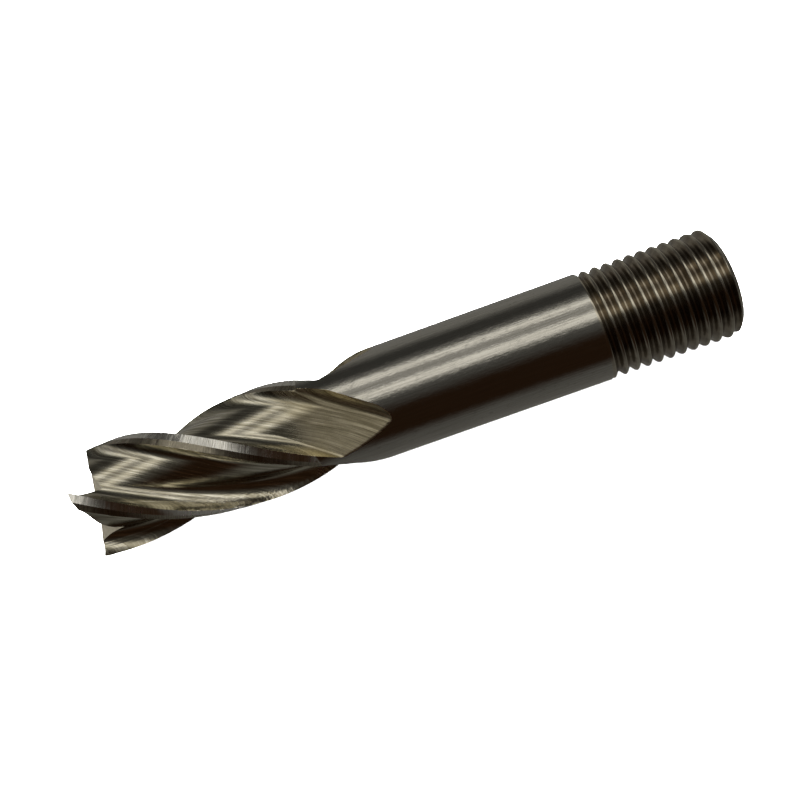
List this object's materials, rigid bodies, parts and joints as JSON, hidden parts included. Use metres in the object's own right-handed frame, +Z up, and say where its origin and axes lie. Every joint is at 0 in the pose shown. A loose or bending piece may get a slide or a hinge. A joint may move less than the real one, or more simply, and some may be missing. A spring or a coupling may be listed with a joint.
{
  "type": "end mill",
  "caption": "Right-hand helical end mill with end teeth, plain cylindrical shank and screwed rear end, for milling slots and shoulders.",
  "frame": {"origin": "centre of the flat rear face, on the tool's axis", "axes": "+X along the axis out of the rear end, teeth towards -X; +Z up with the tool lying down"},
  "size_m": [0.072, 0.0122, 0.0122],
  "materials": {
    "ground_flutes": "ground high speed steel, bright lands and warm olive-grey flutes with grinding lines",
    "polished_shank": "cylindrically ground and polished steel with light handling marks",
    "oiled_thread": "dark, oily steel thread with bright worn crests"
  },
  "bodies": {
    "root": {"cutting_head": "ground_flutes", "shank": "polished_shank", "threaded_end": "oiled_thread"}
  },
  "joints": []
}
